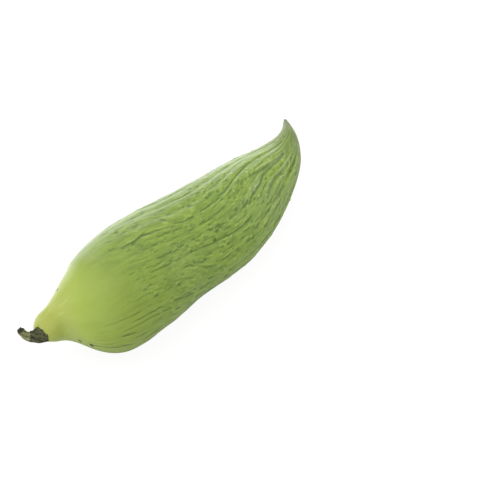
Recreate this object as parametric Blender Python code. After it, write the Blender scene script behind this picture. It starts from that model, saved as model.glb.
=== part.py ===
"""A slipper gourd, also sold as a stuffing cucumber, lying on its flatter side: the fruit and its dried stalk.

Units are metres and +Z is up. The fruit runs along +X from its stalk to its beak, and the beak hooks
towards +Y. The origin is the middle of the small flat spot that the fruit rests on.
"""

import math

import bmesh
import bpy
import numpy as np

MM = 0.001

# Stations of the fruit in millimetres: the middle of the section (x, y, z), half its breadth, half its depth
FRUIT_STATIONS = [
    (-66.8, 14.0, 16.2, 4.5, 3.4),  # end of the neck, where the stalk sits
    (-64.2, 13.8, 17.1, 6.0, 6.7),
    (-60.0, 12.9, 17.7, 6.3, 10.0),
    (-52.0, 6.6, 20.6, 16.1, 15.3),
    (-43.0, 1.5, 22.2, 22.5, 20.7),  # shoulder
    (-33.0, 1.8, 22.0, 24.4, 21.2),
    (-21.0, 1.9, 21.7, 25.0, 21.7),  # belly, the broadest part
    (-6.0, 1.7, 20.5, 24.0, 20.9),
    (10.0, -1.0, 19.8, 23.1, 20.1),
    (27.0, -2.6, 19.1, 21.9, 19.1),
    (44.0, -1.2, 17.7, 18.8, 16.6),
    (60.0, 0.6, 16.4, 14.5, 13.0),
    (73.0, 2.5, 16.3, 10.1, 9.4),
    (78.6, 4.0, 17.8, 7.6, 7.3),
    (82.0, 5.6, 19.4, 5.5, 5.4),  # beak
    (91.0, 15.1, 20.5, 0.6, 0.6),
]

# Each section of the fruit faces halfway between the direction of its bent axis and this one.
FRUIT_FACING = (1.0, 0.0, 0.0)
FRUIT_FACING_SHARE = 0.5

FRUIT_SEGMENTS = 72
FRUIT_RINGS = 50
BEAK_ROUNDING = 0.6 * MM

# The ribs run from the shoulder to the beak, where they become its deeper folds.
RIB_COUNT = 24
RIB_HEIGHT = 0.4 * MM
RIBS_START = -40.0 * MM
RIBS_FULL = 5.0 * MM
FOLD_HEIGHT = 0.4 * MM
FOLDS_START = 35.0 * MM
FOLDS_FULL = 70.0 * MM
FULL_RIB_BREADTH = 14.0 * MM

# Furrows between the lobes of the shoulder fan out from the neck.
LOBE_COUNT = 6
FURROW_DEPTH = 0.3 * MM
FURROW_MIDDLE = -47.0 * MM
FURROW_REACH = 12.0 * MM

# The dried cap covers the end of the neck, and the stub of the stalk grows out of it.
CAP_BREADTH = 3.7 * MM
CAP_DEPTH = 2.9 * MM
CAP_THICKNESS = 0.6 * MM
CAP_TAPER = 0.92

# Stations of the stalk beyond its cap in millimetres: the middle of the section (x, y, z) and its two radii
STALK_STATIONS = [
    (-69.0, 15.4, 15.8, 2.8, 2.5),  # dried cap, drawn in from the neck
    (-70.4, 16.7, 16.2, 2.0, 2.0),
    (-71.5, 18.0, 17.4, 1.6, 1.6),  # stub, curled up and sideways
    (-72.1, 19.0, 19.1, 1.5, 1.5),
    (-72.4, 19.7, 20.9, 1.5, 1.5),
]
STALK_SEGMENTS = 30
STALK_RINGS = 22
STALK_ROUNDING = 1.4 * MM
STALK_RIDGES = 5
STALK_RIDGE_HEIGHT = 0.16 * MM
GAP = 0.3 * MM

# The stalk's sections face away from the neck at its cap, and along its bent axis from this distance on.
STALK_TURNED = 5.5 * MM

SKIN_COLOUR = (0.296, 0.402, 0.093, 1.0)
SKIN_ROUGHNESS = 0.38
STALK_COLOUR = (0.084, 0.087, 0.047, 1.0)
STALK_ROUGHNESS = 0.85
SHARP_ANGLE = math.radians(50)


def remove_everything():
    for thing in list(bpy.data.objects):
        bpy.data.objects.remove(thing, do_unlink=True)


def make_material(name, colour, roughness):
    material = bpy.data.materials.new(name)
    material.use_nodes = True
    shader = material.node_tree.nodes["Principled BSDF"]
    shader.inputs["Base Color"].default_value = colour
    shader.inputs["Roughness"].default_value = roughness
    shader.inputs["Metallic"].default_value = 0.0
    material.diffuse_color = colour
    return material


def unit(vectors):
    return vectors / np.linalg.norm(vectors, axis=-1, keepdims=True)


def smooth_step(value, start, end):
    share = np.clip((value - start) / (end - start), 0.0, 1.0)
    return share * share * (3.0 - 2.0 * share)


def smooth_curve(knots, values, at):
    """Natural cubic spline through the values at the knots: its value and its slope at each place."""
    count = len(knots)
    steps = np.diff(knots)
    matrix = np.eye(count)
    right = np.zeros_like(values)
    for i in range(1, count - 1):
        matrix[i, i - 1 : i + 2] = steps[i - 1], 2 * (steps[i - 1] + steps[i]), steps[i]
        slope_after = (values[i + 1] - values[i]) / steps[i]
        slope_before = (values[i] - values[i - 1]) / steps[i - 1]
        right[i] = 6 * (slope_after - slope_before)
    bend = np.linalg.solve(matrix, right)
    i = np.clip(np.searchsorted(knots, at, side="right") - 1, 0, count - 2)
    step = steps[i][:, None]
    before = (knots[i + 1] - at)[:, None] / step
    after = 1 - before
    value = before * values[i] + after * values[i + 1]
    value += ((before**3 - before) * bend[i] + (after**3 - after) * bend[i + 1]) * step**2 / 6
    slope = (values[i + 1] - values[i]) / step
    slope += ((3 * after**2 - 1) * bend[i + 1] - (3 * before**2 - 1) * bend[i]) * step / 6
    return value, slope


def sections(stations, along, facing, facing_share):
    """The middle, the direction ahead, the two radii and the distance of each section at a share of the length.

    facing_share(distance) is how far a section is turned from the axis's own direction to that of facing. It
    keeps the sections from crossing where the axis bends sharply.
    """
    hops = np.linalg.norm(np.diff(stations[:, :3], axis=0), axis=1)
    knots = np.concatenate([[0.0], np.cumsum(hops)])
    distance = along * knots[-1]
    value, slope = smooth_curve(knots, stations, distance)
    turned = facing_share(distance)[:, None]
    ahead = unit((1 - turned) * unit(slope[:, :3]) + turned * np.array(facing))
    return value[:, :3], ahead, value[:, 3:], distance


def fruit_facing_share(distance):
    return np.full_like(distance, FRUIT_FACING_SHARE)


def stalk_facing_share(distance):
    return 1.0 - smooth_step(distance, 0.0, STALK_TURNED)


def lofted_mesh(name, stations, segments, rings, rounding, relief, facing, facing_share):
    """A ball whose rings are laid on the stations, from a flat end to a round tip.

    relief(x, breadth, angle) is a point's height above the plain oval. No point is lower than the surface
    that the fruit rests on, which gives the fruit its flat spot.
    """
    share = np.clip((np.arange(rings + 1) - 1) / (rings - 1), 0.0, 1.0)
    along = share - 0.5 * np.sin(2 * np.pi * share) / (2 * np.pi)
    middle, ahead, radii, distance = sections(stations, along, facing, facing_share)
    upward = unit(np.array([0.0, 0.0, 1.0]) - ahead[:, 2:3] * ahead)
    sideways = np.cross(upward, ahead)
    into_tip = np.clip(1 - (distance[-1] - distance) / rounding, 0.0, 1.0)
    closing = np.sqrt(1 - into_tip**2)
    closing[0] = 0.0

    shape = bmesh.new()
    bmesh.ops.create_uvsphere(shape, u_segments=segments, v_segments=rings, radius=1.0)
    for vert in shape.verts:
        x, y, z = vert.co
        ring = round(math.acos(max(-1.0, min(1.0, -z))) / math.pi * rings)
        angle = math.atan2(y, x)
        height = relief(middle[ring][0], radii[ring][0], angle)
        reach = (radii[ring] + height) * closing[ring]
        place = middle[ring] + math.cos(angle) * reach[0] * sideways[ring]
        place += math.sin(angle) * reach[1] * upward[ring]
        place[2] = max(place[2], 0.0)
        vert.co = place
    mesh = bpy.data.meshes.new(name)
    shape.to_mesh(mesh)
    shape.free()
    return mesh


def fruit_relief(x, breadth, angle):
    """Ribs that grow into the folds of the beak, and the furrows of the shoulder."""
    height = RIB_HEIGHT * smooth_step(x, RIBS_START, RIBS_FULL)
    height += FOLD_HEIGHT * smooth_step(x, FOLDS_START, FOLDS_FULL)
    height *= min(1.0, breadth / FULL_RIB_BREADTH)
    furrow = FURROW_DEPTH * math.exp(-(((x - FURROW_MIDDLE) / FURROW_REACH) ** 2))
    furrow *= max(0.0, -math.cos(LOBE_COUNT * angle)) ** 2
    return height * math.cos(RIB_COUNT * angle) - furrow


def stalk_relief(x, breadth, angle):
    return STALK_RIDGE_HEIGHT * math.cos(STALK_RIDGES * angle)


def end_of_neck(fruit_stations):
    """The middle of the neck's end, and the direction that it faces."""
    middle, ahead, _, _ = sections(fruit_stations, np.array([0.0]), FRUIT_FACING, fruit_facing_share)
    return middle[0], -ahead[0]


def stalk_stations(end, facing):
    """The cap starts as a flat disc that faces the end of the neck across the gap."""
    foot = [*(end + facing * GAP), CAP_BREADTH, CAP_DEPTH]
    dome = [*(end + facing * (GAP + CAP_THICKNESS)), CAP_BREADTH * CAP_TAPER, CAP_DEPTH * CAP_TAPER]
    return np.array([foot, dome, *(np.array(STALK_STATIONS) * MM)])


def add_object(name, mesh, material):
    body = bpy.data.objects.new(name, mesh)
    bpy.context.scene.collection.objects.link(body)
    mesh.materials.append(material)
    mesh.shade_smooth()
    mesh.set_sharp_from_angle(angle=SHARP_ANGLE)
    return body


def make_fruit(stations):
    form = (FRUIT_SEGMENTS, FRUIT_RINGS, BEAK_ROUNDING, fruit_relief, FRUIT_FACING, fruit_facing_share)
    mesh = lofted_mesh("fruit", stations, *form)
    return add_object("fruit", mesh, make_material("gourd_skin", SKIN_COLOUR, SKIN_ROUGHNESS))


def make_stalk(fruit_stations):
    end, facing = end_of_neck(fruit_stations)
    form = (STALK_SEGMENTS, STALK_RINGS, STALK_ROUNDING, stalk_relief, facing, stalk_facing_share)
    mesh = lofted_mesh("stalk", stalk_stations(end, facing), *form)
    return add_object("stalk", mesh, make_material("dried_stalk", STALK_COLOUR, STALK_ROUGHNESS))


remove_everything()
make_fruit(np.array(FRUIT_STATIONS) * MM)
make_stalk(np.array(FRUIT_STATIONS) * MM)
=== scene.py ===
# %% [markdown]
# # A slipper gourd for a studio picture
# This lesson finishes one fruit: a slipper gourd, also sold as a stuffing cucumber, with its dried stalk.
# Its solid already exists at its real size. We load it as a fixed frame, grow a finer skin in the same
# place, give the skin and the stalk their finishes, and light them softly on a pale floor.

# %% Load the solid as a fixed frame
import math

import bmesh
import bpy
import numpy as np
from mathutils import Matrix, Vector, noise


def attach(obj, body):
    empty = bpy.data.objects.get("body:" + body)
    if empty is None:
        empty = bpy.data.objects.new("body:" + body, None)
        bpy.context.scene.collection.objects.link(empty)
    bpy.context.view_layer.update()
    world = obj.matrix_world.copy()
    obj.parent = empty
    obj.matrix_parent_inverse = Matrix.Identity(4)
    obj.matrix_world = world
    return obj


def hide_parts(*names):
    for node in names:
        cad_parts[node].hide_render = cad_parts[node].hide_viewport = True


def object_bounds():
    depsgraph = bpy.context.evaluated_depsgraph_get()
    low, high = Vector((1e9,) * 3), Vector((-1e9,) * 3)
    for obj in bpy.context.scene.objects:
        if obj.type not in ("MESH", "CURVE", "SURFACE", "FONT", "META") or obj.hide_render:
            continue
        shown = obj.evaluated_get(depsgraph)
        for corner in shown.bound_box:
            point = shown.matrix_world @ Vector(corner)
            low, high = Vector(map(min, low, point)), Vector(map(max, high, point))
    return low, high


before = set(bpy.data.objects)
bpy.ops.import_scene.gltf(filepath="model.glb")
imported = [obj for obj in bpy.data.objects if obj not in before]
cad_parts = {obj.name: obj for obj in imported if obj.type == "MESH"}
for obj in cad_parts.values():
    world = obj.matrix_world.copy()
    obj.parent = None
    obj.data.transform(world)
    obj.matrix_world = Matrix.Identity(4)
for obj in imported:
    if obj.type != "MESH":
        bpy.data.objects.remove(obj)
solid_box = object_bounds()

MM = 0.001
solid_size = [round(high - low, 4) for low, high in zip(*solid_box)]
print("the solid measures", solid_size, "metres, in nodes", sorted(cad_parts))

# %% [markdown]
# ## The camera
# The picture was taken with a long lens, which keeps the near neck and the far beak almost at one scale.
# The camera looks down at the fruit from the side of its stalk. We make it first, so that every later
# step can be judged in the right view. It is placed backwards from the point that it aims at, which is
# easier to read than a bare location.

# %% Place the camera
CAMERA_AIM = Vector((23.3, -21.6, 16.3)) * MM
CAMERA_DISTANCE = 597 * MM
CAMERA_HEADING = math.radians(49.42)  # from +Y towards +X
CAMERA_DOWN = math.radians(50)
CAMERA_LENS_MM = 100
SENSOR_MM = 36

look = Vector(
    (
        math.cos(CAMERA_DOWN) * math.sin(CAMERA_HEADING),
        math.cos(CAMERA_DOWN) * math.cos(CAMERA_HEADING),
        -math.sin(CAMERA_DOWN),
    )
)
camera_lens = bpy.data.cameras.new("camera")
camera_lens.lens = CAMERA_LENS_MM
camera_lens.sensor_width = SENSOR_MM
camera = bpy.data.objects.new("camera", camera_lens)
camera.location = CAMERA_AIM - look * CAMERA_DISTANCE
camera.rotation_euler = look.to_track_quat("-Z", "Y").to_euler()
bpy.context.scene.collection.objects.link(camera)
bpy.context.scene.camera = camera
print("the camera stands at", [round(x, 3) for x in camera.location])

# %% [markdown]
# ## Where the fruit grows
# A gourd grows along a bent axis, and each of its sections is an oval. A short list of stations gives the
# middle and the two half sizes of a section where the form changes. It is the same list as the solid's,
# so the skin that we grow lies exactly where the solid is.

# %% The stations of the fruit
FRUIT_STATIONS = np.array(
    [  # millimetres: x, y, z of the middle, half the breadth, half the depth
        (-66.8, 14.0, 16.2, 4.5, 3.4),  # end of the neck, where the stalk sits
        (-64.2, 13.8, 17.1, 6.0, 6.7),
        (-60.0, 12.9, 17.7, 6.3, 10.0),
        (-52.0, 6.6, 20.6, 16.1, 15.3),
        (-43.0, 1.5, 22.2, 22.5, 20.7),  # shoulder
        (-33.0, 1.8, 22.0, 24.4, 21.2),
        (-21.0, 1.9, 21.7, 25.0, 21.7),  # belly, the broadest part
        (-6.0, 1.7, 20.5, 24.0, 20.9),
        (10.0, -1.0, 19.8, 23.1, 20.1),
        (27.0, -2.6, 19.1, 21.9, 19.1),
        (44.0, -1.2, 17.7, 18.8, 16.6),
        (60.0, 0.6, 16.4, 14.5, 13.0),
        (73.0, 2.5, 16.3, 10.1, 9.4),
        (78.6, 4.0, 17.8, 7.6, 7.3),
        (82.0, 5.6, 19.4, 5.5, 5.4),  # beak
        (91.0, 15.1, 20.5, 0.6, 0.6),
    ]
) * MM
print(len(FRUIT_STATIONS), "stations, the belly", round(2 * FRUIT_STATIONS[:, 3].max() / MM), "mm broad")

# %% [markdown]
# ### A smooth curve through the stations
# Straight lines from station to station would leave corners, so a natural cubic spline joins them.
# Sections that stood square on the axis would cross where it bends sharply, so each is turned part of the
# way to a fixed direction.

# %% Sections anywhere along the axis
FRUIT_FACING = np.array((1.0, 0.0, 0.0))
FRUIT_FACING_SHARE = 0.5


def unit(vectors):
    return vectors / np.linalg.norm(vectors, axis=-1, keepdims=True)


def smooth_step(value, start, end):
    share = np.clip((value - start) / (end - start), 0.0, 1.0)
    return share * share * (3.0 - 2.0 * share)


def smooth_curve(knots, values, at):
    """Natural cubic spline through the values at the knots: its value and its slope at each place."""
    count = len(knots)
    steps = np.diff(knots)
    matrix = np.eye(count)
    right = np.zeros_like(values)
    for i in range(1, count - 1):
        matrix[i, i - 1 : i + 2] = steps[i - 1], 2 * (steps[i - 1] + steps[i]), steps[i]
        slope_after = (values[i + 1] - values[i]) / steps[i]
        slope_before = (values[i] - values[i - 1]) / steps[i - 1]
        right[i] = 6 * (slope_after - slope_before)
    bend = np.linalg.solve(matrix, right)
    i = np.clip(np.searchsorted(knots, at, side="right") - 1, 0, count - 2)
    step = steps[i][:, None]
    before = (knots[i + 1] - at)[:, None] / step
    after = 1 - before
    value = before * values[i] + after * values[i + 1]
    value += ((before**3 - before) * bend[i] + (after**3 - after) * bend[i + 1]) * step**2 / 6
    slope = (values[i + 1] - values[i]) / step
    slope += ((3 * after**2 - 1) * bend[i + 1] - (3 * before**2 - 1) * bend[i]) * step / 6
    return value, slope


def sections(stations, along, facing, facing_share):
    """The middle, direction ahead, two radii and distance of each section, at shares of the length.

    facing_share(distance) is how far a section is turned from the axis's own direction to that of facing.
    """
    hops = np.linalg.norm(np.diff(stations[:, :3], axis=0), axis=1)
    knots = np.concatenate([[0.0], np.cumsum(hops)])
    distance = along * knots[-1]
    value, slope = smooth_curve(knots, stations, distance)
    turned = facing_share(distance)[:, None]
    ahead = unit((1 - turned) * unit(slope[:, :3]) + turned * facing)
    return value[:, :3], ahead, value[:, 3:], distance


def fruit_facing_share(distance):
    return np.full_like(distance, FRUIT_FACING_SHARE)


_, _, _, fruit_ends = sections(FRUIT_STATIONS, np.array([0.0, 1.0]), FRUIT_FACING, fruit_facing_share)
fruit_length = fruit_ends[-1]
print("the fruit is", round(fruit_length / MM, 1), "mm long along its bent axis")

# %% [markdown]
# ## Laying a ball's rings on the stations
# A ball is the simplest closed form that has two poles, and a gourd has them too: its neck and its beak.
# So a ball from one bmesh operator gives the faces, and each of its rings is moved onto its own section.
# A point also keeps where it grew, as an attribute: its distance along the axis, and its place round a
# young, straight fruit. Another attribute says how deep it lies in a wrinkle, or on the lip of one; from it
# the skin gets painted shade in its hollows and a painted highlight on its lips and warts. The materials
# read both, so colours follow the bends, draw together at the beak as on the real fruit, and sit exactly on
# the relief.

# %% The lofted ball
YOUNG_RADIUS = 24 * MM
END_CROWDING = 0.15  # rings lie closer at both ends, where the form turns quickly


def young_place(distance, turned):
    return np.stack([distance, YOUNG_RADIUS * np.cos(turned), YOUNG_RADIUS * np.sin(turned)], axis=1)


def lofted_piece(name, stations, segments, rings, facing, facing_share, closing, relief):
    """A closed piece along the stations.

    closing(distance, length) narrows the rings at the ends. relief(points) gives each point's added height,
    its angle on the young fruit, and its share of painted shade and highlight: 1 for full painted shade at
    the bottom of a wrinkle, -1 for a painted highlight on a lip.
    """
    shape = bmesh.new()
    bmesh.ops.create_uvsphere(shape, u_segments=segments, v_segments=rings, radius=1.0)
    mesh = bpy.data.meshes.new(name)
    shape.to_mesh(mesh)
    shape.free()

    ball = np.empty(3 * len(mesh.vertices))
    mesh.vertices.foreach_get("co", ball)
    ball = ball.reshape(-1, 3)
    ring = np.rint(np.arccos(np.clip(-ball[:, 2], -1.0, 1.0)) / np.pi * rings).astype(int)
    angle = np.arctan2(ball[:, 1], ball[:, 0])

    share = np.clip((np.arange(rings + 1) - 1) / (rings - 1), 0.0, 1.0)
    along = share - END_CROWDING * np.sin(2 * np.pi * share) / (2 * np.pi)
    middle, ahead, radii, distance = sections(stations, along, facing, facing_share)
    upward = unit(np.array([0.0, 0.0, 1.0]) - ahead[:, 2:3] * ahead)
    sideways = np.cross(upward, ahead)
    narrowed = closing(distance, distance[-1])
    narrowed[0] = 0.0

    points = {
        "distance": distance[ring],
        "angle": angle,
        "x": middle[ring, 0],
        "radius": radii[ring].mean(axis=1),
    }
    height, turned, shade_and_highlight = relief(points)
    reach = (radii[ring] + height[:, None]) * narrowed[ring, None]
    place = middle[ring] + np.cos(angle)[:, None] * reach[:, :1] * sideways[ring]
    place += np.sin(angle)[:, None] * reach[:, 1:] * upward[ring]
    place[:, 2] = np.maximum(place[:, 2], 0.0)
    mesh.vertices.foreach_set("co", place.ravel())

    grown = mesh.attributes.new("grown", "FLOAT_VECTOR", "POINT")
    grown.data.foreach_set("vector", young_place(distance[ring], turned).ravel())
    # the wrinkle attribute holds painted shade (positive) and painted highlight (negative) for the finishes
    mesh.attributes.new("wrinkle", "FLOAT", "POINT").data.foreach_set("value", shade_and_highlight)
    mesh.shade_smooth()
    mesh.update()
    piece = bpy.data.objects.new(name, mesh)
    bpy.context.scene.collection.objects.link(piece)
    return piece


print("once round the young fruit is", round(2 * np.pi * YOUNG_RADIUS / MM), "mm")

# %% [markdown]
# ## The veins
# About two dozen veins run from the shoulder to the beak, and all finer marks follow them. They turn
# slowly round the fruit along its body and a little back before the beak. They also wander: a few slow
# waves and a soft noise shift them, and no two stand equally far apart. One function tells which angle a
# point would have on a fruit whose veins are straight and even, and every relief and colour that follows
# the veins is drawn with that angle.

# %% Where the veins run
VEIN_COUNT = 24
VEIN_WAVES = [  # times round the fruit, millimetres along it, size in radians, start in radians
    (2, 260, 0.070, 0.7),
    (3, -150, 0.045, 2.1),
    (5, 95, 0.024, 4.0),
    (1, -60, 0.018, 1.2),
    (7, 44, 0.012, 0.3),
]
TWISTS = [  # from and to in millimetres, and by how many radians the veins turn in between
    (22, 78, 0.50),
    (82, 125, -0.18),
]
WANDER = 0.035  # in radians
WANDER_SIZE = np.array((13.0, 4.0, 4.0)) * MM  # along the fruit and round it


def soft_noise(places):
    return np.array([noise.noise(place) for place in places.tolist()])


def angle_between(angle, other):
    return (angle - other + np.pi) % (2 * np.pi) - np.pi


def vein_angle(distance, angle):
    """The angle that a point would have if every vein ran straight and they stood equally far apart."""
    drift = WANDER * soft_noise(young_place(distance, angle) / WANDER_SIZE)
    for start, end, size in TWISTS:
        drift -= size * smooth_step(distance, start * MM, end * MM)
    for times, length, size, start in VEIN_WAVES:
        drift += size * np.sin(times * angle + 2 * np.pi * distance / (length * MM) + start)
    return angle + drift


twist = math.degrees(sum(size for _, _, size in TWISTS))
print(VEIN_COUNT, "veins, turned by", round(twist), "degrees in all")

# %% [markdown]
# ## Ribs, folds and the smooth cheek
# The skin sinks along each vein and swells between two of them. Near the stalk it is smooth, and towards
# the beak neighbouring ribs draw together and their hollows deepen into folds. One side of the beak is a
# smooth cheek with hardly any. This could be a displacement texture, but a formula on the points gives a
# real shape, which also shows in the outline and when the mesh is used without its material.

# %% Ribs and folds
RIB_HEIGHT = 0.16 * MM
RIBS_GROW = (30 * MM, 85 * MM)  # like all such pairs below, distances from the end of the neck
RIB_SHARPNESS = 1.8  # the higher it is, the narrower the hollows are
FULL_RIB_RADIUS = 14 * MM  # where the fruit is thinner, its relief is lower
FOLD_HEIGHT = 0.5 * MM
FOLD_COUNT = 13
FOLD_CROWDING = 0.35  # in radians of one fold: on two sides the folds stand closer
FOLD_SWELL = 0.6
FOLD_SINK = 1.8
FOLD_SHARPNESS = 2.4
FOLDS_RISE = (88 * MM, 132 * MM)
FOLDS_FALL = (138 * MM, 158 * MM)
FOLD_UNEVENNESS = 0.55  # how much one fold is higher than another
FOLD_PATTERN = (5, 110 * MM)  # times round the fruit, length along it
CHEEK_ANGLE = math.radians(72)
CHEEK_HALF_WIDTH = math.radians(30)
CHEEK_GROWS = (98 * MM, 122 * MM)
CHEEK_SMOOTHNESS = 0.75


def rise_and_fall(distance, rise, fall):
    return smooth_step(distance, *rise) * (1 - smooth_step(distance, *fall))


def roughness_of_beak(points):
    """The share of the folds and wrinkles that is left: little on the smooth cheek of the beak."""
    aside = angle_between(points["angle"], CHEEK_ANGLE) / CHEEK_HALF_WIDTH
    cheek = smooth_step(points["distance"], *CHEEK_GROWS) * np.exp(-(aside**2))
    return 1 - CHEEK_SMOOTHNESS * cheek


def rib_relief(points, turned):
    narrowed = np.minimum(1.0, points["radius"] / FULL_RIB_RADIUS)
    ribs = RIB_HEIGHT * smooth_step(points["distance"], *RIBS_GROW) * narrowed
    folds = FOLD_HEIGHT * rise_and_fall(points["distance"], FOLDS_RISE, FOLDS_FALL) * narrowed
    times, length = FOLD_PATTERN
    folds *= 1 + FOLD_UNEVENNESS * np.sin(times * turned + 2 * np.pi * points["distance"] / length)
    rib_hollow = (0.5 - 0.5 * np.cos(VEIN_COUNT * turned)) ** RIB_SHARPNESS
    fold_angle = FOLD_COUNT * turned + FOLD_CROWDING * np.sin(2 * turned + 1.0)
    fold_hollow = (0.5 - 0.5 * np.cos(fold_angle)) ** FOLD_SHARPNESS
    return ribs * (1 - 2 * rib_hollow) + folds * (FOLD_SWELL - FOLD_SINK * fold_hollow)


print(FOLD_COUNT, "folds on the beak, up to", round(FOLD_SINK * FOLD_HEIGHT / MM, 1), "mm deep")

# %% [markdown]
# ## The shoulder and the neck
# Under the neck the skin has folded in softly where the shoulder stands out past it, with a soft swelling
# in the hollow, and shallow furrows between the lobes of the shoulder fan out from the neck. The stations
# only give ovals, so these forms are added to them.

# %% Crease, lobes and the filled hollow
CREASE_ANGLE = math.radians(162)
CREASE_RISE = (0 * MM, 4 * MM)
CREASE_FALL = (12 * MM, 21 * MM)
CREASE_HALF_WIDTH = 0.9 * MM
CREASE_DEPTH = 0.18 * MM
LOBE_COUNT = 6
LOBE_DEPTH = 0.3 * MM
LOBE_MIDDLE = -47 * MM
LOBE_REACH = 12 * MM
FILLING_PLACE = (6.2 * MM, math.radians(149))  # distance and angle
FILLING_HALF_SIZE = (3.0 * MM, math.radians(27))
FILLING_HEIGHT = 0.7 * MM


def shoulder_relief(points, turned):
    aside = angle_between(points["angle"], CREASE_ANGLE) * points["radius"] / CREASE_HALF_WIDTH
    crease = CREASE_DEPTH * rise_and_fall(points["distance"], CREASE_RISE, CREASE_FALL)
    crease *= np.exp(-(aside**2))
    near = np.exp(-(((points["x"] - LOBE_MIDDLE) / LOBE_REACH) ** 2))
    lobe = LOBE_DEPTH * near * np.maximum(0.0, -np.cos(LOBE_COUNT * turned)) ** 2
    along = (points["distance"] - FILLING_PLACE[0]) / FILLING_HALF_SIZE[0]
    aside = angle_between(points["angle"], FILLING_PLACE[1]) / FILLING_HALF_SIZE[1]
    filling = FILLING_HEIGHT * np.exp(-(along**2) - aside**2)
    return filling - crease - lobe


print(LOBE_COUNT, "lobes on the shoulder, with furrows", round(LOBE_DEPTH / MM, 1), "mm deep")

# %% [markdown]
# ## Swellings
# No grown skin is even. Broad swellings come from a soft noise that is stretched along the fruit, and
# smaller ones from a finer noise. Both are faint on the neck, which is the smoothest part.

# %% Swellings
SWELLINGS = [  # millimetres along, millimetres round, height in millimetres, shift of the noise
    (30, 16, 0.40, 3.0),
    (9, 4, 0.20, 17.0),
]
SWELLINGS_GROW = (18 * MM, 55 * MM)
SWELLINGS_ON_NECK = 0.2


def swelling_relief(points, turned):
    height = np.zeros_like(turned)
    where = young_place(points["distance"], turned)
    for along, around, size, shift in SWELLINGS:
        height += size * MM * soft_noise(where / MM / (along, around, around) + shift)
    grown_in = smooth_step(points["distance"], *SWELLINGS_GROW)
    height *= SWELLINGS_ON_NECK + (1 - SWELLINGS_ON_NECK) * grown_in
    return height * np.minimum(1.0, points["radius"] / FULL_RIB_RADIUS)


print(len(SWELLINGS), "sizes of swelling")

# %% [markdown]
# ## The lines that the wrinkles follow
# The skin is broken along the veins and, more faintly, half-way between two. Some of these lines have
# many wrinkles and others hardly any. The skin ages sooner on its lower side, so there the wrinkles start
# nearer to the neck. Every wrinkle is a groove that has a raised lip on one side.

# %% Lines and the section of a wrinkle
LINE_COUNT = 2 * VEIN_COUNT
LINE_STRENGTHS = (0.35, 1.0)
FAINT_LINE = 0.5
WRINKLE_SEED = 5
RIPE_ANGLE = math.radians(73)  # the side that ages last
WRINKLE_LEAN = 26 * MM  # on the other side the skin looks up to twice this much further along
WRINKLES_FROM = (33 * MM, 53 * MM)
WRINKLES_TO = (140 * MM, 160 * MM)
WRINKLE_FREE_NECK = (8 * MM, 24 * MM)
LIP_PLACE = 1.7  # in half widths from the wrinkle's middle
LIP_SHARE = 0.5

line_strength = np.random.default_rng(WRINKLE_SEED).uniform(*LINE_STRENGTHS, LINE_COUNT)
line_strength[::2] *= FAINT_LINE  # the even lines lie half-way between two veins


def ripe_distance(distance, turned, lean):
    """The distance from the neck that the skin looks like."""
    return distance + lean * (1 - np.cos(turned - RIPE_ANGLE)) * (1 - distance / fruit_length)


def wrinkle_share(distance, turned):
    """How strong the wrinkles are at a place."""
    ripe = ripe_distance(distance, turned, WRINKLE_LEAN)
    return rise_and_fall(ripe, WRINKLES_FROM, WRINKLES_TO) * smooth_step(distance, *WRINKLE_FREE_NECK)


def groove(aside, side):
    """The depth across a wrinkle less its lip's height, where aside is in half widths."""
    return np.exp(-(aside**2)) - LIP_SHARE * np.exp(-((aside - side * LIP_PLACE) ** 2))


print(LINE_COUNT, "lines, the strongest with", round(line_strength.max(), 2), "of the full depth")

# %% [markdown]
# ### Threads
# Long fine grooves run along the lines. On the body a soft noise breaks them into short parts, and
# towards the beak they are whole but shallower.

# %% Threads
THREAD_HALF_WIDTH = 0.36 * MM
THREAD_DEPTH = 0.15 * MM
THREAD_BREAK = 3.6 * MM  # the length of its parts
THREAD_EDGE = (-0.08, 0.22)  # values of the noise where a part begins and where it has its full depth
THREAD_WHOLE = (85 * MM, 125 * MM)  # over this stretch the threads stop being broken
THREAD_FILLS = 0.35  # this much is added to the noise where they are whole
THREAD_FADE = (116 * MM, 142 * MM)
THREAD_FADES = 0.6
LINE_SHIFT = 7.3  # so that no two lines have the same noise


def thread_relief(points, turned):
    place = turned * LINE_COUNT / (2 * np.pi)
    line = np.rint(place)
    aside = (place - line) * 2 * np.pi / LINE_COUNT * points["radius"] / THREAD_HALF_WIDTH
    line = line.astype(int) % LINE_COUNT
    parts = soft_noise(np.stack([points["distance"] / THREAD_BREAK, LINE_SHIFT * line, 0 * aside], axis=1))
    parts += THREAD_FILLS * smooth_step(points["distance"], *THREAD_WHOLE)
    present = smooth_step(parts, *THREAD_EDGE) * wrinkle_share(points["distance"], turned)
    present *= 1 - THREAD_FADES * smooth_step(points["distance"], *THREAD_FADE)
    side = np.where(line % 3 == 0, -1, 1)
    return THREAD_DEPTH * line_strength[line] * present * groove(aside, side)


print("a thread is", round(2 * THREAD_HALF_WIDTH / MM, 2), "mm wide")

# %% [markdown]
# ### Short wrinkles
# Many short wrinkles cluster round the lines, a little scattered and slanted. A seeded draw places them
# all. A noise texture could stand in for them, but it would look even all over, and its colour and its
# relief would not come from the same mark.

# %% Short wrinkles
WRINKLE_COUNT = 1250
WRINKLES_DRAWN = (9.9 * MM, 160 * MM)
WRINKLE_HALF_LENGTH = (0.7 * MM, 2.2 * MM)
WRINKLE_HALF_WIDTH = (0.30 * MM, 0.46 * MM)
WRINKLE_DEPTH = (0.10 * MM, 0.27 * MM)
WRINKLE_SLANT = 0.14
WRINKLE_SCATTER = 0.16  # in turns from one line to the next
MARK_REACH = 2.5  # in half lengths: further away a mark has no height


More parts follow.
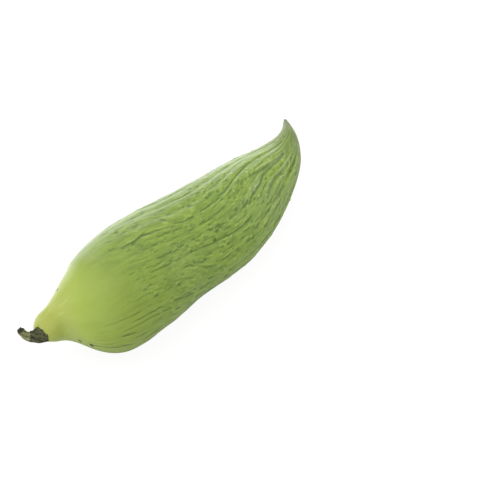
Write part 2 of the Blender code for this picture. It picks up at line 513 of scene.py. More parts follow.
def wrinkle_relief(points, turned):
    draw = np.random.default_rng(WRINKLE_SEED)
    depth = np.zeros_like(turned)
    for _ in range(WRINKLE_COUNT):
        line = draw.integers(LINE_COUNT)
        distance = draw.uniform(*WRINKLES_DRAWN)
        half_length, half_width = draw.uniform(*WRINKLE_HALF_LENGTH), draw.uniform(*WRINKLE_HALF_WIDTH)
        deep = draw.uniform(*WRINKLE_DEPTH) * line_strength[line]
        place = (line + draw.normal(0, WRINKLE_SCATTER)) * 2 * np.pi / LINE_COUNT
        deep *= wrinkle_share(distance, place)
        slant, side = draw.normal(0, WRINKLE_SLANT), draw.choice((-1, 1))
        near = np.abs(points["distance"] - distance) < MARK_REACH * half_length
        along = points["distance"][near] - distance
        aside = (angle_between(turned[near], place) * points["radius"][near] - slant * along) / half_width
        depth[near] += deep * np.exp(-((along / half_length) ** 2)) * groove(aside, side)
    return depth


print(WRINKLE_COUNT, "wrinkles, up to", round(2 * WRINKLE_HALF_LENGTH[1] / MM, 1), "mm long")

# %% [markdown]
# ### Warts, pits and streaks
# Small warts stand out between the lines, each with a pit beside it; the wart's top gets a painted
# highlight and the pit painted shade. They are most frequent on the middle of the body. A few marks have
# their own places: raised streaks on the neck, painted pale as a highlight, and a crack, painted dark as
# shade, with a raised lip painted pale as a highlight, where the smooth cheek of the beak ends.

# %% Warts, pits and streaks
WART_COUNT = 520
WART_SEED = 11
WARTS_BETWEEN = (36 * MM, 98 * MM, 152 * MM)  # first, most frequent and last distance
WART_HALF_WIDTH = (0.5 * MM, 0.85 * MM)
WART_HEIGHT = (0.12 * MM, 0.36 * MM)
PIT_PLACE = (0.5, 1.5)  # along and aside, in half widths of the wart
PIT_SHARE = 0.42  # of the wart's height
STREAKS = [  # millimetres from the neck's end, degrees, half the length, slant, height in millimetres
    (8.2, 89, 3.4, -0.04, 0.12),
    (14.5, 98, 2.6, -0.10, 0.12),
    (11.0, 120, 1.6, -0.06, 0.12),
    (124.0, 99, 9.0, 0.05, 0.22),  # lip
    (125.0, 103, 10.0, 0.05, -0.35),  # crack
]
STREAK_HALF_WIDTH = 0.45 * MM


def wart_relief(points, turned):
    """The height of the warts, and the depth of the pits beside them."""
    draw = np.random.default_rng(WART_SEED)
    height = np.zeros_like(turned)
    pit = np.zeros_like(turned)
    for _ in range(WART_COUNT):
        distance = draw.triangular(*WARTS_BETWEEN)
        place = draw.uniform(0, 2 * np.pi)
        half, rise = draw.uniform(*WART_HALF_WIDTH), draw.uniform(*WART_HEIGHT)
        side = draw.choice((-1, 1))
        near = np.abs(points["distance"] - distance) < MARK_REACH * half
        along = (points["distance"][near] - distance) / half
        aside = angle_between(turned[near], place) * points["radius"][near] / half
        height[near] += rise * np.exp(-(along**2) - aside**2)
        from_pit = (along - PIT_PLACE[0]) ** 2 + (aside - side * PIT_PLACE[1]) ** 2
        pit[near] += PIT_SHARE * rise * np.exp(-from_pit)
    return height, pit


def streak_relief(points):
    height = np.zeros_like(points["angle"])
    for distance, degrees, half_length, slant, size in STREAKS:
        along = (points["distance"] - distance * MM) / (half_length * MM)
        aside = angle_between(points["angle"], math.radians(degrees) + slant * along) * points["radius"]
        height += size * MM * np.exp(-(along**2) - (aside / STREAK_HALF_WIDTH) ** 2)
    return height


print(WART_COUNT, "warts with pits, and", len(STREAKS), "streaks")

# %% [markdown]
# ## Growing the skin
# The neck ends in a rounded edge under the dried crust, and the beak closes in a small round point. All
# the reliefs are added up, and the same sum sets how much painted shade or painted highlight each point
# gets as part of a wrinkle, a pit or a wart.

# %% The fruit's skin
FRUIT_SEGMENTS = 384  # fine round the fruit, because its wrinkles are narrow and long
FRUIT_RINGS = 257
NECK_EDGE_ROUNDING = 1.3 * MM
NECK_EDGE_SHARE = 0.93
BEAK_ROUNDING = 0.6 * MM
# The two numbers below set the painted shade in hollows and pits and the painted highlight on lips, streaks
# and wart tops.
DEEPEST = 0.11 * MM  # a wrinkle of this depth has the full dark colour
WART_HIGHLIGHT = 0.35  # a wart is as pale as a lip of this share of its height


def fruit_closing(distance, length):
    into_neck = np.clip(1 - distance / NECK_EDGE_ROUNDING, 0.0, 1.0)
    into_beak = np.clip(1 - (length - distance) / BEAK_ROUNDING, 0.0, 1.0)
    neck = NECK_EDGE_SHARE + (1 - NECK_EDGE_SHARE) * np.sqrt(1 - into_neck**2)
    return neck * np.sqrt(1 - into_beak**2)


def fruit_relief(points):
    turned = vein_angle(points["distance"], points["angle"])
    warts, pits = wart_relief(points, turned)
    rough = roughness_of_beak(points)
    depth = rough * (wrinkle_relief(points, turned) + thread_relief(points, turned) + pits)
    depth -= streak_relief(points)
    height = rough * rib_relief(points, turned) + shoulder_relief(points, turned)
    height += swelling_relief(points, turned)
    # hollows, pits and the crack get painted shade; lips, raised streaks and wart tops a painted highlight
    shade_and_highlight = np.clip((depth - WART_HIGHLIGHT * warts) / DEEPEST, -1.0, 1.0)
    return height - depth + warts, turned, shade_and_highlight


fruit = lofted_piece(
    "gourd_fruit",
    FRUIT_STATIONS,
    FRUIT_SEGMENTS,
    FRUIT_RINGS,
    FRUIT_FACING,
    fruit_facing_share,
    fruit_closing,
    fruit_relief,
)
print("the skin has", 2 * FRUIT_SEGMENTS * (FRUIT_RINGS - 1), "triangles")

# %% [markdown]
# ## Helpers for the finishes
# A finish is a tree of shader nodes. Colours are written as the hex values of a colour chart, which are
# sRGB, and the shader wants linear light, so one function turns them. Another one adds a node, sets it
# and links it, so that each line below reads as one step of the recipe. A third lays one colour over
# another, as a painter would.

# %% Colours and nodes
MIX_A, MIX_B, MIX_COLOUR = 6, 7, 2  # the colour sockets of a mix node, where names repeat


def linear(hex_colour):
    values = [int(hex_colour[i : i + 2], 16) / 255 for i in (1, 3, 5)]
    return (*[v / 12.92 if v <= 0.04045 else ((v + 0.055) / 1.055) ** 2.4 for v in values], 1.0)


def per_mm(size):
    """The scale of a pattern whose feature is this many millimetres, where coordinates are metres."""
    return 1 / (size * MM)


def new_material(name):
    material = bpy.data.materials.new(name)
    material.use_nodes = True
    material.node_tree.nodes.clear()
    return material


def add_node(material, kind, inputs=None, stops=None, **settings):
    """A shader node with its settings, its inputs as values or links, and the colour stops of a ramp.

    A node that is given as an input stands for its first output.
    """
    node = material.node_tree.nodes.new("ShaderNode" + kind)
    for name, value in settings.items():
        setattr(node, name, value)
    for socket, value in (inputs or {}).items():
        if isinstance(value, bpy.types.Node):
            value = value.outputs[0]
        if isinstance(value, bpy.types.NodeSocket):
            material.node_tree.links.new(value, node.inputs[socket])
        else:
            node.inputs[socket].default_value = value
    for i, (place, colour) in enumerate(stops or []):
        elements = node.color_ramp.elements
        element = elements[i] if i < 2 else elements.new(place)
        element.position = place
        element.color = linear(colour)
    return node


def painted(material, base, colour, *amounts):
    """The base with a colour laid over it, as strongly as all the amounts multiplied."""
    strength = amounts[0]
    for amount in amounts[1:]:
        strength = add_node(material, "Math", {0: strength, 1: amount}, operation="MULTIPLY")
    layers = {"Factor": strength, MIX_A: base, MIX_B: colour}
    return add_node(material, "Mix", layers, data_type="RGBA").outputs[MIX_COLOUR]


print("mid grey is", round(linear("#808080")[0], 3), "in linear light")

# %% [markdown]
# ## The skin's finish
# The skin of a gourd is a thin green layer under a natural wax. It is yellow-green and smooth at the
# neck, a cooler green along the body and greyish at the beak, whose point is dry and dark. The change
# comes sooner on the side that ages sooner. All of this could be painted, but rules that read where the
# skin grew keep the pattern sharp at any distance.

# %% Colour along the fruit
SKIN_STOPS = [  # share of the length, colour
    (0.00, "#b2bb54"),
    (0.05, "#b2bd54"),
    (0.12, "#a8bb4d"),
    (0.15, "#9fb348"),
    (0.19, "#8fa640"),
    (0.25, "#87a13c"),
    (0.42, "#84a040"),
    (0.60, "#86a43f"),
    (0.80, "#89a73a"),
    (0.90, "#7d9240"),
    (0.965, "#758348"),
    (1.00, "#4a4a35"),
]
RIPE_LEAN = 5 * MM  # what WRINKLE_LEAN is for the wrinkles, this is for the colour
PATCH_MM = 17
PATCH_SHARE = 0.06  # how far a patch shifts the colour along the fruit

# Waxed gourd skin gives the eye soft patches of green under an even satin gloss.
skin = new_material("waxed_gourd_skin")
where = add_node(skin, "TexCoord").outputs["Object"]
grown = add_node(skin, "Attribute", attribute_name="grown").outputs["Vector"]
grown_at = add_node(skin, "SeparateXYZ", {"Vector": grown}).outputs
distance = grown_at["X"]
lean = -RIPE_LEAN / YOUNG_RADIUS
ripe_side = (0.0, lean * math.cos(RIPE_ANGLE), lean * math.sin(RIPE_ANGLE))
aside = add_node(skin, "VectorMath", {0: grown, 1: ripe_side}, operation="DOT_PRODUCT").outputs["Value"]
aside = add_node(skin, "Math", {0: aside, 1: RIPE_LEAN}, operation="ADD")
not_yet = add_node(skin, "Math", {0: distance, 1: -1 / fruit_length, 2: 1.0}, operation="MULTIPLY_ADD")
ripe = add_node(skin, "Math", {0: aside, 1: not_yet, 2: distance}, operation="MULTIPLY_ADD")
patches = add_node(skin, "TexNoise", {"Vector": where, "Scale": per_mm(PATCH_MM), "Detail": 3.0})
shift = {0: patches, 1: PATCH_SHARE, 2: -PATCH_SHARE / 2}
shift = add_node(skin, "Math", shift, operation="MULTIPLY_ADD")
share = add_node(skin, "Math", {0: ripe, 1: 1 / fruit_length, 2: shift}, operation="MULTIPLY_ADD")
ground = add_node(skin, "ValToRGB", {"Fac": share}, stops=SKIN_STOPS)
print("the skin's colour has", len(SKIN_STOPS), "stops along", round(fruit_length / MM), "mm")

# %% [markdown]
# ### Bands along the veins
# Each vein is a darker band. The angle round the young fruit, times the number of veins, goes through one
# full turn from vein to vein. Its cosine is lowest on a vein, just where the relief has its hollow, so
# colour and shape agree. A noise leaves some parts of a band paler.

# %% Bands
BAND_COLOUR = "#6c8a38"
BAND_STRENGTH = 0.45
BAND_EDGE = {"From Min": 0.2, "From Max": -1.0}  # of the cosine
BANDS_GROW = {"From Min": 18 * MM, "From Max": 52 * MM}
BAND_PATCH_MM = 11
BAND_PATCHES = {"From Min": 0.35, "From Max": 0.65}

turn = add_node(skin, "Math", {0: grown_at["Z"], 1: grown_at["Y"]}, operation="ARCTAN2")
phase = add_node(skin, "Math", {0: turn, 1: VEIN_COUNT}, operation="MULTIPLY")
between = add_node(skin, "Math", {0: phase}, operation="COSINE")
band = add_node(skin, "MapRange", {"Value": between, **BAND_EDGE}, interpolation_type="SMOOTHSTEP")
ribbed = add_node(skin, "MapRange", {"Value": ripe, **BANDS_GROW}, interpolation_type="SMOOTHSTEP")
uneven = add_node(skin, "TexNoise", {"Vector": grown, "Scale": per_mm(BAND_PATCH_MM), "Detail": 2.0})
uneven = add_node(skin, "MapRange", {"Value": uneven, **BAND_PATCHES})
banded = painted(skin, ground.outputs["Color"], linear(BAND_COLOUR), band, ribbed, uneven, BAND_STRENGTH)
print("the bands grow in from", round(BANDS_GROW["From Min"] / MM), "mm on")

# %% [markdown]
# ### Painted shade and highlight of the wrinkles
# The mesh says how deep each point lies in a wrinkle. Painted shade makes the bottom a dark green, and a
# painted highlight pales the lip beside it. A fine noise roughens both, so that they don't look drawn. On
# the lines themselves the painted shade is whole, which keeps the threads unbroken.

# %% Wrinkles, with painted shade and highlight
# painted shade at the bottom of a wrinkle
WRINKLE_SHADE_COLOUR = "#3a5c18"
WRINKLE_SHOWS = {"From Min": 0.04, "From Max": 0.7, "To Max": 0.95}
LINE_EDGE = {"From Min": 0.86, "From Max": 1.0}  # of the cosine that is 1 on a line
GROOVE_SHOWS = {"From Min": 0.10, "From Max": 0.5, "To Max": 0.75}
# painted highlight on a wrinkle's lip
LIP_HIGHLIGHT_COLOUR = "#bccd68"
LIP_SHOWS = {"From Min": -0.03, "From Max": -0.5, "To Max": 0.6}
RAGGED_MM = 0.8
RAGGED = {"From Min": 0.25, "From Max": 0.75, "To Min": 0.4}

wrinkle = add_node(skin, "Attribute", attribute_name="wrinkle").outputs["Fac"]
ragged = add_node(skin, "TexNoise", {"Vector": where, "Scale": per_mm(RAGGED_MM), "Detail": 2.0})
ragged = add_node(skin, "MapRange", {"Value": ragged, **RAGGED})
dark = add_node(skin, "MapRange", {"Value": wrinkle, **WRINKLE_SHOWS})
dark = add_node(skin, "Math", {0: dark, 1: ragged}, operation="MULTIPLY")
line_phase = add_node(skin, "Math", {0: turn, 1: LINE_COUNT}, operation="MULTIPLY")
on_line = add_node(skin, "Math", {0: line_phase}, operation="COSINE")
on_line = add_node(skin, "MapRange", {"Value": on_line, **LINE_EDGE}, interpolation_type="SMOOTHSTEP")
in_groove = add_node(skin, "MapRange", {"Value": wrinkle, **GROOVE_SHOWS})
in_groove = add_node(skin, "Math", {0: on_line, 1: in_groove}, operation="MULTIPLY")
dark = add_node(skin, "Math", {0: dark, 1: in_groove}, operation="MAXIMUM")
pale = add_node(skin, "MapRange", {"Value": wrinkle, **LIP_SHOWS})
# painted shade in each wrinkle, then a painted highlight on its lip
shade_and_highlight = painted(skin, banded, linear(WRINKLE_SHADE_COLOUR), dark)
shade_and_highlight = painted(skin, shade_and_highlight, linear(LIP_HIGHLIGHT_COLOUR), pale, ragged)
print("a wrinkle is", WRINKLE_SHADE_COLOUR, "and its lip", LIP_HIGHLIGHT_COLOUR)

# %% [markdown]
# ### Mottling and fine strokes
# Long soft patches lie over the whole body, and fine short strokes between the larger wrinkles. Both are
# a noise that is stretched along the fruit, dark where it is high and pale where it is low, and both fade
# out on the smooth neck.

# %% Mottling and strokes
MOTTLE_MM = (7.5, 2.6)  # along and round
MOTTLE_DARK = ("#6b8836", 0.5, 0.72, 0.6)  # colour, noise where it starts and is full, strength
MOTTLE_PALE = ("#9eb64e", 0.5, 0.28, 0.5)
STROKE_MM = (2.1, 0.7)
STROKE_DARK = ("#557426", 0.55, 0.63, 0.42)
STROKE_PALE = ("#adc25c", 0.43, 0.35, 0.34)
STROKE_PATCH_MM = (16, 7)
STROKE_PATCHES = {"From Min": 0.42, "From Max": 0.6, "To Min": 0.1}


def stretched_noise(size_mm, detail):
    """Noise on the young fruit with one size along it and another round it."""
    along, around = size_mm
    scale = (per_mm(along), per_mm(around), per_mm(around))
    place = add_node(skin, "Mapping", {"Vector": grown, "Scale": scale})
    return add_node(skin, "TexNoise", {"Vector": place, "Scale": 1.0, "Detail": detail})


def tinted(base, pattern, tints, *amounts):
    """The base with each tint laid over it where the pattern has its values."""
    for colour, start, full, most in tints:
        shows = {"Value": pattern, "From Min": start, "From Max": full, "To Max": most}
        base = painted(skin, base, linear(colour), add_node(skin, "MapRange", shows), *amounts)
    return base


mottle = stretched_noise(MOTTLE_MM, 5.0)
mottled = tinted(shade_and_highlight, mottle, (MOTTLE_DARK, MOTTLE_PALE), ribbed)
strokes = stretched_noise(STROKE_MM, 2.0)
stroke_patches = stretched_noise(STROKE_PATCH_MM, 2.0)
stroke_patches = add_node(skin, "MapRange", {"Value": stroke_patches, **STROKE_PATCHES})
stroked = tinted(mottled, strokes, (STROKE_DARK, STROKE_PALE), stroke_patches, ribbed)
print("a stroke is about", STROKE_MM[0], "mm long and", STROKE_MM[1], "mm wide")

# %% [markdown]
# ### Specks
# Small specks lie all over the body. They sit in the cells of a Voronoi pattern: each cell has one
# centre, and its random colour decides whether its speck is dark, pale or left out.

# %% Specks
SPECK_CELL_MM = 4.2
SPECK_EDGE = {"From Min": 0.15, "From Max": 0.05}  # in cells from the centre
SPECKS = [  # colour, and which lots have it
    ("#4f6b2c", "GREATER_THAN", 0.72),
    ("#c3d192", "LESS_THAN", 0.22),
]

cells = add_node(skin, "TexVoronoi", {"Vector": where, "Scale": per_mm(SPECK_CELL_MM)})
speck = {"Value": cells.outputs["Distance"], **SPECK_EDGE}
speck = add_node(skin, "MapRange", speck, interpolation_type="SMOOTHSTEP")
lot = add_node(skin, "SeparateColor", {"Color": cells.outputs["Color"]}).outputs["Red"]
speckled = stroked
for colour, comparison, limit in SPECKS:
    drawn = add_node(skin, "Math", {0: lot, 1: limit}, operation=comparison)
    speckled = painted(skin, speckled, linear(colour), speck, ragged, drawn, ribbed)
print("one speck at most in each cell of", SPECK_CELL_MM, "mm")

# %% [markdown]
# ### Marks
# Two black dots and a dry nick show near the neck of this fruit, and two dark warts on its back. Each is
# a place on the skin with a size, and the skin darkens near it. A little noise makes the edge ragged.

# %% Marks
MARKS = [  # millimetres: place on the skin, radius; colour
    ((-58.6, -0.6, 16.6), 1.8, "#060702"),
    ((-57.8, -6.6, 18.0), 1.6, "#070802"),
    ((-52.8, 16.0, 30.9), 1.4, "#2a2e18"),
    ((6.4, -17.0, 34.5), 1.7, "#55722f"),
    ((3.9, -18.6, 33.6), 1.5, "#5a7738"),
]
MARK_RAGGED = 0.5  # both in radii: how far the edge wanders, and where the mark is whole
MARK_WHOLE = 0.82

marked = speckled
for place, radius, colour in MARKS:
    reach = add_node(skin, "VectorMath", {0: where, 1: Vector(place) * MM}, operation="DISTANCE")
    reach = {0: ragged, 1: MARK_RAGGED * radius * MM, 2: reach.outputs["Value"]}
    reach = add_node(skin, "Math", reach, operation="MULTIPLY_ADD")
    spot = {"Value": reach, "From Min": radius * MM, "From Max": MARK_WHOLE * radius * MM}
    spot = add_node(skin, "MapRange", spot, interpolation_type="SMOOTHSTEP")
    marked = painted(skin, marked, linear(colour), spot)
print(len(MARKS), "marks")

# %% [markdown]
# ### Wax and fine relief
# The wax gives a satin gloss with a sharper coat on top, so pale surroundings show along the edges and a
# small lamp glints on the warts. It is duller at the neck than at the beak. A little light passes through
# the wax and comes out beside where it went in, which softens the shadows. The finest relief is bump:
# grains rise and strokes sink. Heights are in millimetres.

# %% Wax and bump
GRAIN_MM = 0.9
GRAIN_HEIGHT_MM = 0.05
STROKE_HEIGHT_MM = -0.12
SKIN_IOR = 1.45
DULLNESS = {"From Min": 40 * MM, "From Max": 130 * MM, "To Min": 0.34, "To Max": 0.24}
MOTTLE_DULLNESS = 0.15

grain = add_node(skin, "TexNoise", {"Vector": where, "Scale": per_mm(GRAIN_MM), "Detail": 2.0})
height = add_node(skin, "Math", {0: grain, 1: GRAIN_HEIGHT_MM}, operation="MULTIPLY")
height = add_node(skin, "Math", {0: strokes, 1: STROKE_HEIGHT_MM, 2: height}, operation="MULTIPLY_ADD")
height = add_node(skin, "Math", {0: height, 1: ribbed}, operation="MULTIPLY")
bump = add_node(skin, "Bump", {"Height": height, "Distance": MM, "Strength": 1.0})
dullness = add_node(skin, "MapRange", {"Value": distance, **DULLNESS})
dullness = add_node(skin, "Math", {0: mottle, 1: MOTTLE_DULLNESS, 2: dullness}, operation="MULTIPLY_ADD")
wax = add_node(
    skin,
    "BsdfPrincipled",
    {
        "Base Color": marked,
        "Roughness": dullness,
        "IOR": SKIN_IOR,
        "Normal": bump,
        "Coat Weight": 0.12,
        "Coat Roughness": 0.12,
        "Coat IOR": SKIN_IOR,
        "Subsurface Weight": 0.1,
        "Subsurface Radius": (0.9, 1.0, 0.35),
        "Subsurface Scale": 1.2 * MM,
    },
)
add_node(skin, "OutputMaterial", {"Surface": wax})
fruit.data.materials.append(skin)
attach(fruit, "root")
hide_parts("fruit")
print("the skin has", len(skin.node_tree.nodes), "shader nodes")

# %% [markdown]
# ## The dried stalk
# The stalk was cut and has dried. Its foot is a ragged crust that lies over the end of the neck, and a
# short ridged stub curls up out of it. The crust begins on the neck's own sections, just under the skin,
# and a noise lifts it out of the skin here and there, which gives it a torn edge without cutting the
# mesh. Five ridges run along the stub, and a noise that is long along it gives the wrinkles of drying.

# %% The stations of the stalk
CRUST_REACH = 1.4 * MM  # how far the crust lies over the neck
CRUST_SECTIONS = 4
STALK_STATIONS = np.array(
    [  # millimetres: x, y, z of the middle, two radii
        (-69.0, 15.4, 15.8, 2.8, 2.5),  # dried crust, drawn in from the neck
        (-70.4, 16.7, 16.2, 2.0, 2.0),
        (-71.5, 18.0, 17.4, 1.6, 1.6),  # stub, curled up and sideways
        (-72.1, 19.0, 19.1, 1.5, 1.5),
        (-72.4, 19.7, 20.9, 1.5, 1.5),
    ]
) * MM

crust_distances = np.linspace(CRUST_REACH, 0.0, CRUST_SECTIONS)
neck_middles, neck_aheads, neck_radii, _ = sections(
    FRUIT_STATIONS, crust_distances / fruit_length, FRUIT_FACING, fruit_facing_share
)
neck_radii = neck_radii * fruit_closing(crust_distances, fruit_length)[:, None]
stalk_stations = np.concatenate([np.concatenate([neck_middles, neck_radii], axis=1), STALK_STATIONS])
stalk_length = np.linalg.norm(np.diff(stalk_stations[:, :3], axis=0), axis=1).sum()
print("the stalk is", round(stalk_length / MM, 1), "mm long along its bent axis")

# %% [markdown]
# ### Crust, ridges and dry wrinkles
# The crust reaches further over the neck on one side. Beyond it the section goes over into the ridged
# stub, and the tip closes in a small round edge, because the cut has dried in.

# %% The stalk
CRUST_HIDDEN = (0.4 * MM, 1.5 * MM)  # how deep its edge lies under the skin on its near and its far side
CRUST_HEIGHT = 0.4 * MM
CRUST_RISE = 0.5 * MM
CRUST_SIDE = math.radians(58)  # the side where it reaches furthest over the neck
CRUST_NARROWER = 3.8 * MM  # how much less it reaches on the other side
CRUST_TEAR = 0.4 * MM
CRUST_TEAR_MM = 1.6
STUB_STARTS = (2.0 * MM, 4.0 * MM)  # beyond the end of the neck
STUB_TWIST = (0.25, 9 * MM)  # in radians to and fro, and the length of one wave
STALK_TURNED = 8 * MM
STALK_SEGMENTS = 160
STALK_RINGS = 180
STALK_ROUNDING = 0.9 * MM
STALK_RIDGES = 5
RIDGE_HEIGHT = 0.20 * MM
DRY_WRINKLES = [  # millimetres along, millimetres round, height in millimetres
    (2.6, 0.8, 0.18),
    (0.9, 0.45, 0.10),
]


def stalk_facing_share(distance):
    return 1.0 - smooth_step(distance, CRUST_REACH, STALK_TURNED)


def stalk_closing(distance, length):
    into_tip = np.clip(1 - (length - distance) / STALK_ROUNDING, 0.0, 1.0)
    return np.sqrt(1 - into_tip**2)


def stalk_relief(points):
    size, length = STUB_TWIST
    turned = points["angle"] + size * np.sin(2 * np.pi * points["distance"] / length)
    round_about = np.stack([np.cos(turned), np.sin(turned)], axis=1) * points["radius"][:, None]
    where = np.concatenate([points["distance"][:, None], round_about], axis=1) / MM
    far_side = 0.5 - 0.5 * np.cos(points["angle"] - CRUST_SIDE)
    edge = CRUST_NARROWER * far_side + CRUST_TEAR * soft_noise(where / CRUST_TEAR_MM + 3.0)
    out_of_skin = smooth_step(points["distance"] - edge, 0.0, CRUST_RISE)
    on_stub = smooth_step(points["distance"] - CRUST_REACH, *STUB_STARTS)
    hidden = CRUST_HIDDEN[0] + (CRUST_HIDDEN[1] - CRUST_HIDDEN[0]) * far_side
    crust = (hidden + CRUST_HEIGHT) * out_of_skin - hidden
    ridges = RIDGE_HEIGHT * (1 - 2 * np.abs(np.sin(STALK_RIDGES * turned / 2)))
    folds = np.zeros_like(turned)
    for along, around, size in DRY_WRINKLES:
        folds += size * MM * soft_noise(where / (along, around, around) + 7.0)
    height = (1 - on_stub) * crust + on_stub * ridges + out_of_skin * folds
    # the last value is painted shade in the hollows and a painted highlight on the ridges
    return height, turned, np.clip(-(on_stub * ridges + folds) / RIDGE_HEIGHT, -1.0, 1.0)


stalk = lofted_piece(
    "dried_stalk",
    stalk_stations,
    STALK_SEGMENTS,
    STALK_RINGS,
    -neck_aheads[-1],
    stalk_facing_share,
    stalk_closing,
    stalk_relief,
)
print("the stalk has", 2 * STALK_SEGMENTS * (STALK_RINGS - 1), "triangles")

# %% [markdown]
# ## The stalk's finish
# Dried plant fibre is dull and greyish olive. Its ridges get a painted highlight and the hollows between
# them painted shade, and the crust and the cut end have turned almost black-brown. There is no coat and
# hardly any gloss.

# %% Dried fibre
CRUMB_MM = 1.1
# how strongly the painted shade and highlight follow the folds
FOLD_SHADING = -0.22
FIBRE_STOPS = [(0.20, "#67694a"), (0.75, "#a9ac78")]  # paleness, colour
CRUST_STOPS = [(0.30, "#2d2e20"), (0.72, "#6c6f4a")]
CRUST_RAGGED = 3.0 * MM
CRUST_ENDS = {"From Min": CRUST_REACH + 7.0 * MM, "From Max": CRUST_REACH + 5.4 * MM}
CUT_COLOUR = "#33332a"
CUT_STARTS = {"From Min": stalk_length - 1.6 * MM, "From Max": stalk_length - 0.4 * MM}
CRUMB_HEIGHT_MM = 0.3

# Dried stalk fibre gives the eye a dull, crumbly grey, with painted shade in its folds and a painted
# highlight on its ridges.
fibre = new_material("dried_stalk_fibre")
fibre_where = add_node(fibre, "TexCoord").outputs["Object"]
fibre_grown = add_node(fibre, "Attribute", attribute_name="grown").outputs["Vector"]
fibre_along = add_node(fibre, "SeparateXYZ", {"Vector": fibre_grown}).outputs["X"]
fold = add_node(fibre, "Attribute", attribute_name="wrinkle").outputs["Fac"]
crumbs = add_node(fibre, "TexNoise", {"Vector": fibre_where, "Scale": per_mm(CRUMB_MM), "Detail": 4.0})
# painted shade in the hollows and a painted highlight on the ridges
paleness = add_node(fibre, "Math", {0: fold, 1: FOLD_SHADING, 2: crumbs}, operation="MULTIPLY_ADD")
fibre_colour = add_node(fibre, "ValToRGB", {"Fac": paleness}, stops=FIBRE_STOPS).outputs["Color"]
crust_colour = add_node(fibre, "ValToRGB", {"Fac": paleness}, stops=CRUST_STOPS).outputs["Color"]
on_crust = add_node(fibre, "Math", {0: crumbs, 1: CRUST_RAGGED, 2: fibre_along}, operation="MULTIPLY_ADD")
on_crust = add_node(fibre, "MapRange", {"Value": on_crust, **CRUST_ENDS}, interpolation_type="SMOOTHSTEP")
near_cut = {"Value": fibre_along, **CUT_STARTS}
near_cut = add_node(fibre, "MapRange", near_cut, interpolation_type="SMOOTHSTEP")
dry = painted(fibre, fibre_colour, crust_colour, on_crust)
dry = painted(fibre, dry, linear(CUT_COLOUR), near_cut)
crumb_height = add_node(fibre, "Math", {0: crumbs, 1: CRUMB_HEIGHT_MM}, operation="MULTIPLY")
fibre_bump = add_node(fibre, "Bump", {"Height": crumb_height, "Distance": MM})
dull = add_node(
    fibre,
    "BsdfPrincipled",
    {"Base Color": dry, "Roughness": 0.85, "IOR": 1.45, "Normal": fibre_bump, "Specular IOR Level": 0.35},
)
add_node(fibre, "OutputMaterial", {"Surface": dull})
stalk.data.materials.append(fibre)
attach(stalk, "root")
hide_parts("stalk")
print("the stalk has", len(fibre.node_tree.nodes), "shader nodes")

# %% [markdown]
# ## The floor
# The fruit lies on a plain white table, which the camera has to see as pure white. A lit board would need
# so much light that the fruit would bleach, so the board glows for the camera and stays a plain board for
# all other light, which keeps the soft shadow under the fruit. The waxed skin also mirrors the table. On
# the side of +Y it mirrors a brighter pool, which gives the pale rim along the fruit's upper edge.

# %% The floor
FLOOR_HALF = 3.0
PAPER = 0.05 * MM  # how far the floor lies below the fruit, so that their faces don't fight
BOARD_COLOUR = "#d0d0d0"
BOARD_ROUGHNESS = 0.9
FLOOR_GLOW = 0.74  # the share of the glow that the camera sees, over the lit board
GLOW_STRENGTH = 1.22
POOL = {"From Min": 0.0, "From Max": 50 * MM, "To Min": 0.12}  # along +Y
POOL_STRENGTH = 0.8  # more than the glow

table = bmesh.new()
bmesh.ops.create_grid(table, x_segments=1, y_segments=1, size=FLOOR_HALF)
bmesh.ops.translate(table, verts=table.verts, vec=(0.0, 0.0, -PAPER))
floor_mesh = bpy.data.meshes.new("floor")
table.to_mesh(floor_mesh)
table.free()
floor = bpy.data.objects.new("floor", floor_mesh)
bpy.context.scene.collection.objects.link(floor)

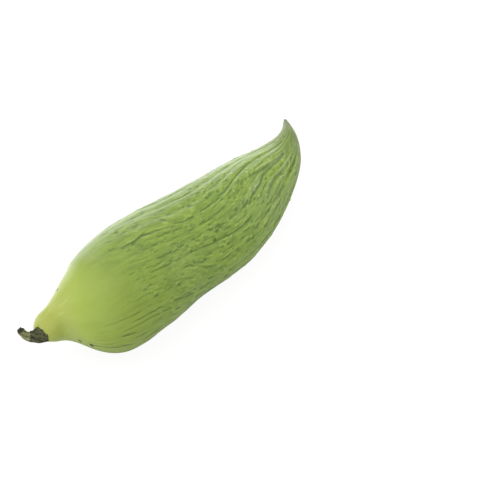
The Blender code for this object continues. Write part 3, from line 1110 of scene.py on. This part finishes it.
# Matte white board gives the eye an even white with a faint soft shadow.
paper = new_material("matte_white_board")
board = {"Base Color": linear(BOARD_COLOUR), "Roughness": BOARD_ROUGHNESS}
board = add_node(paper, "BsdfPrincipled", board)
rays = add_node(paper, "LightPath").outputs
board_where = add_node(paper, "TexCoord").outputs["Object"]
sideways = add_node(paper, "SeparateXYZ", {"Vector": board_where}).outputs["Y"]
pool = add_node(paper, "MapRange", {"Value": sideways, **POOL}, interpolation_type="SMOOTHSTEP")
mirrored = add_node(paper, "Math", {0: rays["Is Glossy Ray"], 1: pool}, operation="MULTIPLY")
seen = {0: rays["Is Camera Ray"], 1: FLOOR_GLOW, 2: mirrored}
seen = add_node(paper, "Math", seen, operation="MULTIPLY_ADD")
strength = {0: mirrored, 1: POOL_STRENGTH, 2: GLOW_STRENGTH}
strength = add_node(paper, "Math", strength, operation="MULTIPLY_ADD")
glow = add_node(paper, "Emission", {"Color": linear("#ffffff"), "Strength": strength})
both = add_node(paper, "MixShader", {0: seen, 1: board, 2: glow})
add_node(paper, "OutputMaterial", {"Surface": both})
floor_mesh.materials.append(paper)
print("the floor is", 2 * FLOOR_HALF, "metres wide")

# %% [markdown]
# ## The light
# A white room fills the shadows. A very large lamp overhead models the fruit softly, one at the side
# lights its neck and shoulder, two behind it give the pale rim, and one on the right lifts the beak. A
# small one, low on the right, gives the glints on the warts.

# %% The lamps
ROOM_STRENGTH = 0.65
LAMPS = [  # name, direction from the fruit, distance and size in metres, watts
    ("overhead", (-0.15, 0.35, 1.0), 1.5, 2.2, 8.5),
    ("side", (-1.0, -0.40, 0.32), 1.4, 1.6, 3.7),
    ("rim", (0.60, 0.80, 0.16), 1.2, 1.0, 2.6),
    ("neck", (-0.66, 0.70, 0.24), 1.2, 0.7, 1.5),
    ("right", (0.85, -0.45, 0.50), 1.4, 1.2, 2.4),
    ("glint", (0.95, -0.17, 0.16), 1.0, 0.10, 0.45),
]

room = bpy.data.worlds.new("white_room")
room.use_nodes = True
background = room.node_tree.nodes["Background"]
background.inputs["Color"].default_value = linear("#ffffff")
background.inputs["Strength"].default_value = ROOM_STRENGTH
bpy.context.scene.world = room
for name, direction, away, size, watts in LAMPS:
    lamp = bpy.data.lights.new(name, "AREA")
    lamp.shape = "DISK"
    lamp.size = size
    lamp.energy = watts
    holder = bpy.data.objects.new(name, lamp)
    holder.location = Vector(direction).normalized() * away
    holder.rotation_euler = (-Vector(direction)).to_track_quat("-Z", "Y").to_euler()
    bpy.context.scene.collection.objects.link(holder)
bpy.context.scene.view_settings.view_transform = "Standard"
print(len(LAMPS), "lamps")
